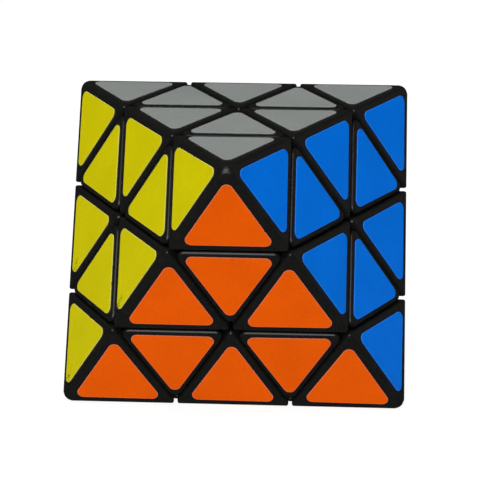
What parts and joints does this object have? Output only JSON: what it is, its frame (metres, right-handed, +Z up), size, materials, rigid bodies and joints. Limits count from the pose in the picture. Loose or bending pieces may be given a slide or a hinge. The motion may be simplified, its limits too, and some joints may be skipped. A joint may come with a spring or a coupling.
{
  "type": "face-turning octahedron puzzle",
  "caption": "Octahedral twisty puzzle: eight coloured triangular faces that each turn on a sprung screw, with corner, edge and triangle pieces held by feet inside.",
  "frame": {"origin": "centre of the bottom face, on the surface that the puzzle stands on", "axes": "+Z up, normal to the bottom and top faces; -Y towards the front face and the near top corner; X along the front face's lower edge"},
  "size_m": [0.0954, 0.1092, 0.0784],
  "materials": {
    "black_plastic": "moulded, semi-gloss",
    "core_plastic": "moulded, satin",
    "steel": "zinc plated",
    "spring_steel": "drawn wire",
    "sticker_grey": "vinyl sticker, satin; used by the visual model",
    "sticker_orange": "vinyl sticker, satin; used by the visual model",
    "sticker_yellow": "vinyl sticker, satin; used by the visual model",
    "sticker_blue": "vinyl sticker, satin; used by the visual model",
    "sticker_white": "vinyl sticker, satin; used by the visual model",
    "sticker_green": "vinyl sticker, satin; used by the visual model",
    "sticker_red": "vinyl sticker, satin; used by the visual model",
    "sticker_purple": "vinyl sticker, satin; used by the visual model"
  },
  "bodies": {
    "core": {"core": "core_plastic", "tension_screws": "steel", "screw_washers": "steel", "tension_springs": "spring_steel"},
    "centre_top": {"centre_top": "black_plastic"},
    "centre_front": {"centre_front": "black_plastic"},
    "centre_back_right": {"centre_back_right": "black_plastic"},
    "centre_back_left": {"centre_back_left": "black_plastic"},
    "centre_bottom": {"centre_bottom": "black_plastic"},
    "centre_back": {"centre_back": "black_plastic"},
    "centre_front_left": {"centre_front_left": "black_plastic"},
    "centre_front_right": {"centre_front_right": "black_plastic"},
    "edge_top_to_back": {"edge_top_to_back": "black_plastic"},
    "edge_top_to_front_left": {"edge_top_to_front_left": "black_plastic"},
    "edge_top_to_front_right": {"edge_top_to_front_right": "black_plastic"},
    "edge_front_to_bottom": {"edge_front_to_bottom": "black_plastic"},
    "edge_front_to_front_left": {"edge_front_to_front_left": "black_plastic"},
    "edge_front_to_front_right": {"edge_front_to_front_right": "black_plastic"},
    "edge_back_right_to_bottom": {"edge_back_right_to_bottom": "black_plastic"},
    "edge_back_right_to_back": {"edge_back_right_to_back": "black_plastic"},
    "edge_back_right_to_front_right": {"edge_back_right_to_front_right": "black_plastic"},
    "edge_back_left_to_bottom": {"edge_back_left_to_bottom": "black_plastic"},
    "edge_back_left_to_back": {"edge_back_left_to_back": "black_plastic"},
    "edge_back_left_to_front_left": {"edge_back_left_to_front_left": "black_plastic"},
    "triangle_top_by_left_top": {"triangle_top_by_left_top": "black_plastic"},
    "triangle_top_by_right_top": {"triangle_top_by_right_top": "black_plastic"},
    "triangle_top_by_front_top": {"triangle_top_by_front_top": "black_plastic"},
    "triangle_bottom_by_right_bottom": {"triangle_bottom_by_right_bottom": "black_plastic"},
    "triangle_bottom_by_left_bottom": {"triangle_bottom_by_left_bottom": "black_plastic"},
    "triangle_bottom_by_back_bottom": {"triangle_bottom_by_back_bottom": "black_plastic"},
    "triangle_front_by_left_bottom": {"triangle_front_by_left_bottom": "black_plastic"},
    "triangle_front_by_right_bottom": {"triangle_front_by_right_bottom": "black_plastic"},
    "triangle_front_by_front_top": {"triangle_front_by_front_top": "black_plastic"},
    "triangle_back_by_right_top": {"triangle_back_by_right_top": "black_plastic"},
    "triangle_back_by_left_top": {"triangle_back_by_left_top": "black_plastic"},
    "triangle_back_by_back_bottom": {"triangle_back_by_back_bottom": "black_plastic"},
    "triangle_back_right_by_back_bottom": {"triangle_back_right_by_back_bottom": "black_plastic"},
    "triangle_back_right_by_right_bottom": {"triangle_back_right_by_right_bottom": "black_plastic"},
    "triangle_back_right_by_right_top": {"triangle_back_right_by_right_top": "black_plastic"},
    "triangle_front_left_by_front_top": {"triangle_front_left_by_front_top": "black_plastic"},
    "triangle_front_left_by_left_top": {"triangle_front_left_by_left_top": "black_plastic"},
    "triangle_front_left_by_left_bottom": {"triangle_front_left_by_left_bottom": "black_plastic"},
    "triangle_back_left_by_back_bottom": {"triangle_back_left_by_back_bottom": "black_plastic"},
    "triangle_back_left_by_left_bottom": {"triangle_back_left_by_left_bottom": "black_plastic"},
    "triangle_back_left_by_left_top": {"triangle_back_left_by_left_top": "black_plastic"},
    "triangle_front_right_by_front_top": {"triangle_front_right_by_front_top": "black_plastic"},
    "triangle_front_right_by_right_top": {"triangle_front_right_by_right_top": "black_plastic"},
    "triangle_front_right_by_right_bottom": {"triangle_front_right_by_right_bottom": "black_plastic"},
    "corner_front_top": {"corner_front_top": "black_plastic"},
    "corner_right_top": {"corner_right_top": "black_plastic"},
    "corner_left_top": {"corner_left_top": "black_plastic"},
    "corner_right_bottom": {"corner_right_bottom": "black_plastic"},
    "corner_left_bottom": {"corner_left_bottom": "black_plastic"},
    "corner_back_bottom": {"corner_back_bottom": "black_plastic"}
  },
  "joints": [
    {"name": "turn_top", "type": "hinge", "parent": "core", "child": "centre_top", "pos_m": [0, 0, 0.03919], "axis": [0, 0, 1], "range_deg": [-240, 240]},
    {"name": "turn_front", "type": "hinge", "parent": "core", "child": "centre_front", "pos_m": [0, 0, 0.03919], "axis": [0, -0.9428, -0.3333], "range_deg": [-240, 240]},
    {"name": "turn_back_right", "type": "hinge", "parent": "core", "child": "centre_back_right", "pos_m": [0, 0, 0.03919], "axis": [0.8165, 0.4714, -0.3333], "range_deg": [-240, 240]},
    {"name": "turn_back_left", "type": "hinge", "parent": "core", "child": "centre_back_left", "pos_m": [0, 0, 0.03919], "axis": [-0.8165, 0.4714, -0.3333], "range_deg": [-240, 240]},
    {"name": "turn_bottom", "type": "hinge", "parent": "core", "child": "centre_bottom", "pos_m": [0, 0, 0.03919], "axis": [0, 0, 1], "range_deg": [-240, 240]},
    {"name": "turn_back", "type": "hinge", "parent": "core", "child": "centre_back", "pos_m": [0, 0, 0.03919], "axis": [0, -0.9428, -0.3333], "range_deg": [-240, 240]},
    {"name": "turn_front_left", "type": "hinge", "parent": "core", "child": "centre_front_left", "pos_m": [0, 0, 0.03919], "axis": [0.8165, 0.4714, -0.3333], "range_deg": [-240, 240]},
    {"name": "turn_front_right", "type": "hinge", "parent": "core", "child": "centre_front_right", "pos_m": [0, 0, 0.03919], "axis": [-0.8165, 0.4714, -0.3333], "range_deg": [-240, 240]},
    {"name": "edge_top_to_back_with_back", "type": "hinge", "parent": "centre_top", "child": "edge_top_to_back", "pos_m": [0, 0, 0.03919], "axis": [0, -0.9428, -0.3333], "range_deg": [-240, 240]},
    {"name": "edge_top_to_front_left_with_front_left", "type": "hinge", "parent": "centre_top", "child": "edge_top_to_front_left", "pos_m": [0, 0, 0.03919], "axis": [0.8165, 0.4714, -0.3333], "range_deg": [-240, 240]},
    {"name": "edge_top_to_front_right_with_front_right", "type": "hinge", "parent": "centre_top", "child": "edge_top_to_front_right", "pos_m": [0, 0, 0.03919], "axis": [-0.8165, 0.4714, -0.3333], "range_deg": [-240, 240]},
    {"name": "edge_front_to_bottom_with_bottom", "type": "hinge", "parent": "centre_front", "child": "edge_front_to_bottom", "pos_m": [0, 0, 0.03919], "axis": [0, 0, 1], "range_deg": [-240, 240]},
    {"name": "edge_front_to_front_left_with_front_left", "type": "hinge", "parent": "centre_front", "child": "edge_front_to_front_left", "pos_m": [0, 0, 0.03919], "axis": [0.8165, 0.4714, -0.3333], "range_deg": [-240, 240]},
    {"name": "edge_front_to_front_right_with_front_right", "type": "hinge", "parent": "centre_front", "child": "edge_front_to_front_right", "pos_m": [0, 0, 0.03919], "axis": [-0.8165, 0.4714, -0.3333], "range_deg": [-240, 240]},
    {"name": "edge_back_right_to_bottom_with_bottom", "type": "hinge", "parent": "centre_back_right", "child": "edge_back_right_to_bottom", "pos_m": [0, 0, 0.03919], "axis": [0, 0, 1], "range_deg": [-240, 240]},
    {"name": "edge_back_right_to_back_with_back", "type": "hinge", "parent": "centre_back_right", "child": "edge_back_right_to_back", "pos_m": [0, 0, 0.03919], "axis": [0, -0.9428, -0.3333], "range_deg": [-240, 240]},
    {"name": "edge_back_right_to_front_right_with_front_right", "type": "hinge", "parent": "centre_back_right", "child": "edge_back_right_to_front_right", "pos_m": [0, 0, 0.03919], "axis": [-0.8165, 0.4714, -0.3333], "range_deg": [-240, 240]},
    {"name": "edge_back_left_to_bottom_with_bottom", "type": "hinge", "parent": "centre_back_left", "child": "edge_back_left_to_bottom", "pos_m": [0, 0, 0.03919], "axis": [0, 0, 1], "range_deg": [-240, 240]},
    {"name": "edge_back_left_to_back_with_back", "type": "hinge", "parent": "centre_back_left", "child": "edge_back_left_to_back", "pos_m": [0, 0, 0.03919], "axis": [0, -0.9428, -0.3333], "range_deg": [-240, 240]},
    {"name": "edge_back_left_to_front_left_with_front_left", "type": "hinge", "parent": "centre_back_left", "child": "edge_back_left_to_front_left", "pos_m": [0, 0, 0.03919], "axis": [0.8165, 0.4714, -0.3333], "range_deg": [-240, 240]},
    {"name": "triangle_top_by_left_top_with_back", "type": "hinge", "parent": "edge_top_to_front_left", "child": "triangle_top_by_left_top", "pos_m": [0, 0, 0.03919], "axis": [0, -0.9428, -0.3333], "range_deg": [-240, 240]},
    {"name": "triangle_top_by_right_top_with_back", "type": "hinge", "parent": "edge_top_to_front_right", "child": "triangle_top_by_right_top", "pos_m": [0, 0, 0.03919], "axis": [0, -0.9428, -0.3333], "range_deg": [-240, 240]},
    {"name": "triangle_top_by_front_top_with_front_left", "type": "hinge", "parent": "edge_top_to_front_right", "child": "triangle_top_by_front_top", "pos_m": [0, 0, 0.03919], "axis": [0.8165, 0.4714, -0.3333], "range_deg": [-240, 240]},
    {"name": "triangle_bottom_by_right_bottom_with_front", "type": "hinge", "parent": "edge_back_right_to_bottom", "child": "triangle_bottom_by_right_bottom", "pos_m": [0, 0, 0.03919], "axis": [0, -0.9428, -0.3333], "range_deg": [-240, 240]},
    {"name": "triangle_bottom_by_left_bottom_with_front", "type": "hinge", "parent": "edge_back_left_to_bottom", "child": "triangle_bottom_by_left_bottom", "pos_m": [0, 0, 0.03919], "axis": [0, -0.9428, -0.3333], "range_deg": [-240, 240]},
    {"name": "triangle_bottom_by_back_bottom_with_back_right", "type": "hinge", "parent": "edge_back_left_to_bottom", "child": "triangle_bottom_by_back_bottom", "pos_m": [0, 0, 0.03919], "axis": [0.8165, 0.4714, -0.3333], "range_deg": [-240, 240]},
    {"name": "triangle_front_by_left_bottom_with_bottom", "type": "hinge", "parent": "edge_front_to_front_left", "child": "triangle_front_by_left_bottom", "pos_m": [0, 0, 0.03919], "axis": [0, 0, 1], "range_deg": [-240, 240]},
    {"name": "triangle_front_by_right_bottom_with_bottom", "type": "hinge", "parent": "edge_front_to_front_right", "child": "triangle_front_by_right_bottom", "pos_m": [0, 0, 0.03919], "axis": [0, 0, 1], "range_deg": [-240, 240]},
    {"name": "triangle_front_by_front_top_with_front_right", "type": "hinge", "parent": "edge_front_to_front_left", "child": "triangle_front_by_front_top", "pos_m": [0, 0, 0.03919], "axis": [-0.8165, 0.4714, -0.3333], "range_deg": [-240, 240]},
    {"name": "triangle_back_by_right_top_with_top", "type": "hinge", "parent": "edge_back_right_to_back", "child": "triangle_back_by_right_top", "pos_m": [0, 0, 0.03919], "axis": [0, 0, 1], "range_deg": [-240, 240]},
    {"name": "triangle_back_by_left_top_with_top", "type": "hinge", "parent": "edge_back_left_to_back", "child": "triangle_back_by_left_top", "pos_m": [0, 0, 0.03919], "axis": [0, 0, 1], "range_deg": [-240, 240]},
    {"name": "triangle_back_by_back_bottom_with_back_left", "type": "hinge", "parent": "edge_back_right_to_back", "child": "triangle_back_by_back_bottom", "pos_m": [0, 0, 0.03919], "axis": [-0.8165, 0.4714, -0.3333], "range_deg": [-240, 240]},
    {"name": "triangle_back_right_by_back_bottom_with_bottom", "type": "hinge", "parent": "edge_back_right_to_back", "child": "triangle_back_right_by_back_bottom", "pos_m": [0, 0, 0.03919], "axis": [0, 0, 1], "range_deg": [-240, 240]},
    {"name": "triangle_back_right_by_right_bottom_with_front_right", "type": "hinge", "parent": "edge_back_right_to_bottom", "child": "triangle_back_right_by_right_bottom", "pos_m": [0, 0, 0.03919], "axis": [-0.8165, 0.4714, -0.3333], "range_deg": [-240, 240]},
    {"name": "triangle_back_right_by_right_top_with_front_right", "type": "hinge", "parent": "edge_back_right_to_back", "child": "triangle_back_right_by_right_top", "pos_m": [0, 0, 0.03919], "axis": [-0.8165, 0.4714, -0.3333], "range_deg": [-240, 240]},
    {"name": "triangle_front_left_by_front_top_with_top", "type": "hinge", "parent": "edge_front_to_front_left", "child": "triangle_front_left_by_front_top", "pos_m": [0, 0, 0.03919], "axis": [0, 0, 1], "range_deg": [-240, 240]},
    {"name": "triangle_front_left_by_left_top_with_back_left", "type": "hinge", "parent": "edge_top_to_front_left", "child": "triangle_front_left_by_left_top", "pos_m": [0, 0, 0.03919], "axis": [-0.8165, 0.4714, -0.3333], "range_deg": [-240, 240]},
    {"name": "triangle_front_left_by_left_bottom_with_back_left", "type": "hinge", "parent": "edge_front_to_front_left", "child": "triangle_front_left_by_left_bottom", "pos_m": [0, 0, 0.03919], "axis": [-0.8165, 0.4714, -0.3333], "range_deg": [-240, 240]},
    {"name": "triangle_back_left_by_back_bottom_with_back", "type": "hinge", "parent": "edge_back_left_to_bottom", "child": "triangle_back_left_by_back_bottom", "pos_m": [0, 0, 0.03919], "axis": [0, -0.9428, -0.3333], "range_deg": [-240, 240]},
    {"name": "triangle_back_left_by_left_bottom_with_front_left", "type": "hinge", "parent": "edge_back_left_to_bottom", "child": "triangle_back_left_by_left_bottom", "pos_m": [0, 0, 0.03919], "axis": [0.8165, 0.4714, -0.3333], "range_deg": [-240, 240]},
    {"name": "triangle_back_left_by_left_top_with_front_left", "type": "hinge", "parent": "edge_back_left_to_back", "child": "triangle_back_left_by_left_top", "pos_m": [0, 0, 0.03919], "axis": [0.8165, 0.4714, -0.3333], "range_deg": [-240, 240]},
    {"name": "triangle_front_right_by_front_top_with_front", "type": "hinge", "parent": "edge_top_to_front_right", "child": "triangle_front_right_by_front_top", "pos_m": [0, 0, 0.03919], "axis": [0, -0.9428, -0.3333], "range_deg": [-240, 240]},
    {"name": "triangle_front_right_by_right_top_with_back_right", "type": "hinge", "parent": "edge_top_to_front_right", "child": "triangle_front_right_by_right_top", "pos_m": [0, 0, 0.03919], "axis": [0.8165, 0.4714, -0.3333], "range_deg": [-240, 240]},
    {"name": "triangle_front_right_by_right_bottom_with_back_right", "type": "hinge", "parent": "edge_front_to_front_right", "child": "triangle_front_right_by_right_bottom", "pos_m": [0, 0, 0.03919], "axis": [0.8165, 0.4714, -0.3333], "range_deg": [-240, 240]},
    {"name": "corner_front_top_with_top", "type": "hinge", "parent": "triangle_front_by_front_top", "child": "corner_front_top", "pos_m": [0, 0, 0.03919], "axis": [0, 0, 1], "range_deg": [-240, 240]},
    {"name": "corner_right_top_with_top", "type": "hinge", "parent": "triangle_back_right_by_right_top", "child": "corner_right_top", "pos_m": [0, 0, 0.03919], "axis": [0, 0, 1], "range_deg": [-240, 240]},
    {"name": "corner_left_top_with_top", "type": "hinge", "parent": "triangle_back_left_by_left_top", "child": "corner_left_top", "pos_m": [0, 0, 0.03919], "axis": [0, 0, 1], "range_deg": [-240, 240]},
    {"name": "corner_right_bottom_with_front_right", "type": "hinge", "parent": "triangle_bottom_by_right_bottom", "child": "corner_right_bottom", "pos_m": [0, 0, 0.03919], "axis": [-0.8165, 0.4714, -0.3333], "range_deg": [-240, 240]},
    {"name": "corner_left_bottom_with_front_left", "type": "hinge", "parent": "triangle_bottom_by_left_bottom", "child": "corner_left_bottom", "pos_m": [0, 0, 0.03919], "axis": [0.8165, 0.4714, -0.3333], "range_deg": [-240, 240]},
    {"name": "corner_back_bottom_with_back", "type": "hinge", "parent": "triangle_bottom_by_back_bottom", "child": "corner_back_bottom", "pos_m": [0, 0, 0.03919], "axis": [0, -0.9428, -0.3333], "range_deg": [-240, 240]}
  ],
  "couplings": [
    {"joint": "edge_top_to_back_with_back", "follows": "turn_back", "ratio": 1},
    {"joint": "edge_top_to_front_left_with_front_left", "follows": "turn_front_left", "ratio": 1},
    {"joint": "edge_top_to_front_right_with_front_right", "follows": "turn_front_right", "ratio": 1},
    {"joint": "edge_front_to_bottom_with_bottom", "follows": "turn_bottom", "ratio": 1},
    {"joint": "edge_front_to_front_left_with_front_left", "follows": "turn_front_left", "ratio": 1},
    {"joint": "edge_front_to_front_right_with_front_right", "follows": "turn_front_right", "ratio": 1},
    {"joint": "edge_back_right_to_bottom_with_bottom", "follows": "turn_bottom", "ratio": 1},
    {"joint": "edge_back_right_to_back_with_back", "follows": "turn_back", "ratio": 1},
    {"joint": "edge_back_right_to_front_right_with_front_right", "follows": "turn_front_right", "ratio": 1},
    {"joint": "edge_back_left_to_bottom_with_bottom", "follows": "turn_bottom", "ratio": 1},
    {"joint": "edge_back_left_to_back_with_back", "follows": "turn_back", "ratio": 1},
    {"joint": "edge_back_left_to_front_left_with_front_left", "follows": "turn_front_left", "ratio": 1},
    {"joint": "triangle_top_by_left_top_with_back", "follows": "turn_back", "ratio": 1},
    {"joint": "triangle_top_by_right_top_with_back", "follows": "turn_back", "ratio": 1},
    {"joint": "triangle_top_by_front_top_with_front_left", "follows": "turn_front_left", "ratio": 1},
    {"joint": "triangle_bottom_by_right_bottom_with_front", "follows": "turn_front", "ratio": 1},
    {"joint": "triangle_bottom_by_left_bottom_with_front", "follows": "turn_front", "ratio": 1},
    {"joint": "triangle_bottom_by_back_bottom_with_back_right", "follows": "turn_back_right", "ratio": 1},
    {"joint": "triangle_front_by_left_bottom_with_bottom", "follows": "turn_bottom", "ratio": 1},
    {"joint": "triangle_front_by_right_bottom_with_bottom", "follows": "turn_bottom", "ratio": 1},
    {"joint": "triangle_front_by_front_top_with_front_right", "follows": "turn_front_right", "ratio": 1},
    {"joint": "triangle_back_by_right_top_with_top", "follows": "turn_top", "ratio": 1},
    {"joint": "triangle_back_by_left_top_with_top", "follows": "turn_top", "ratio": 1},
    {"joint": "triangle_back_by_back_bottom_with_back_left", "follows": "turn_back_left", "ratio": 1},
    {"joint": "triangle_back_right_by_back_bottom_with_bottom", "follows": "turn_bottom", "ratio": 1},
    {"joint": "triangle_back_right_by_right_bottom_with_front_right", "follows": "turn_front_right", "ratio": 1},
    {"joint": "triangle_back_right_by_right_top_with_front_right", "follows": "turn_front_right", "ratio": 1},
    {"joint": "triangle_front_left_by_front_top_with_top", "follows": "turn_top", "ratio": 1},
    {"joint": "triangle_front_left_by_left_top_with_back_left", "follows": "turn_back_left", "ratio": 1},
    {"joint": "triangle_front_left_by_left_bottom_with_back_left", "follows": "turn_back_left", "ratio": 1},
    {"joint": "triangle_back_left_by_back_bottom_with_back", "follows": "turn_back", "ratio": 1},
    {"joint": "triangle_back_left_by_left_bottom_with_front_left", "follows": "turn_front_left", "ratio": 1},
    {"joint": "triangle_back_left_by_left_top_with_front_left", "follows": "turn_front_left", "ratio": 1},
    {"joint": "triangle_front_right_by_front_top_with_front", "follows": "turn_front", "ratio": 1},
    {"joint": "triangle_front_right_by_right_top_with_back_right", "follows": "turn_back_right", "ratio": 1},
    {"joint": "triangle_front_right_by_right_bottom_with_back_right", "follows": "turn_back_right", "ratio": 1},
    {"joint": "corner_front_top_with_top", "follows": "turn_top", "ratio": 1},
    {"joint": "corner_right_top_with_top", "follows": "turn_top", "ratio": 1},
    {"joint": "corner_left_top_with_top", "follows": "turn_top", "ratio": 1},
    {"joint": "corner_right_bottom_with_front_right", "follows": "turn_front_right", "ratio": 1},
    {"joint": "corner_left_bottom_with_front_left", "follows": "turn_front_left", "ratio": 1},
    {"joint": "corner_back_bottom_with_back", "follows": "turn_back", "ratio": 1}
  ]
}
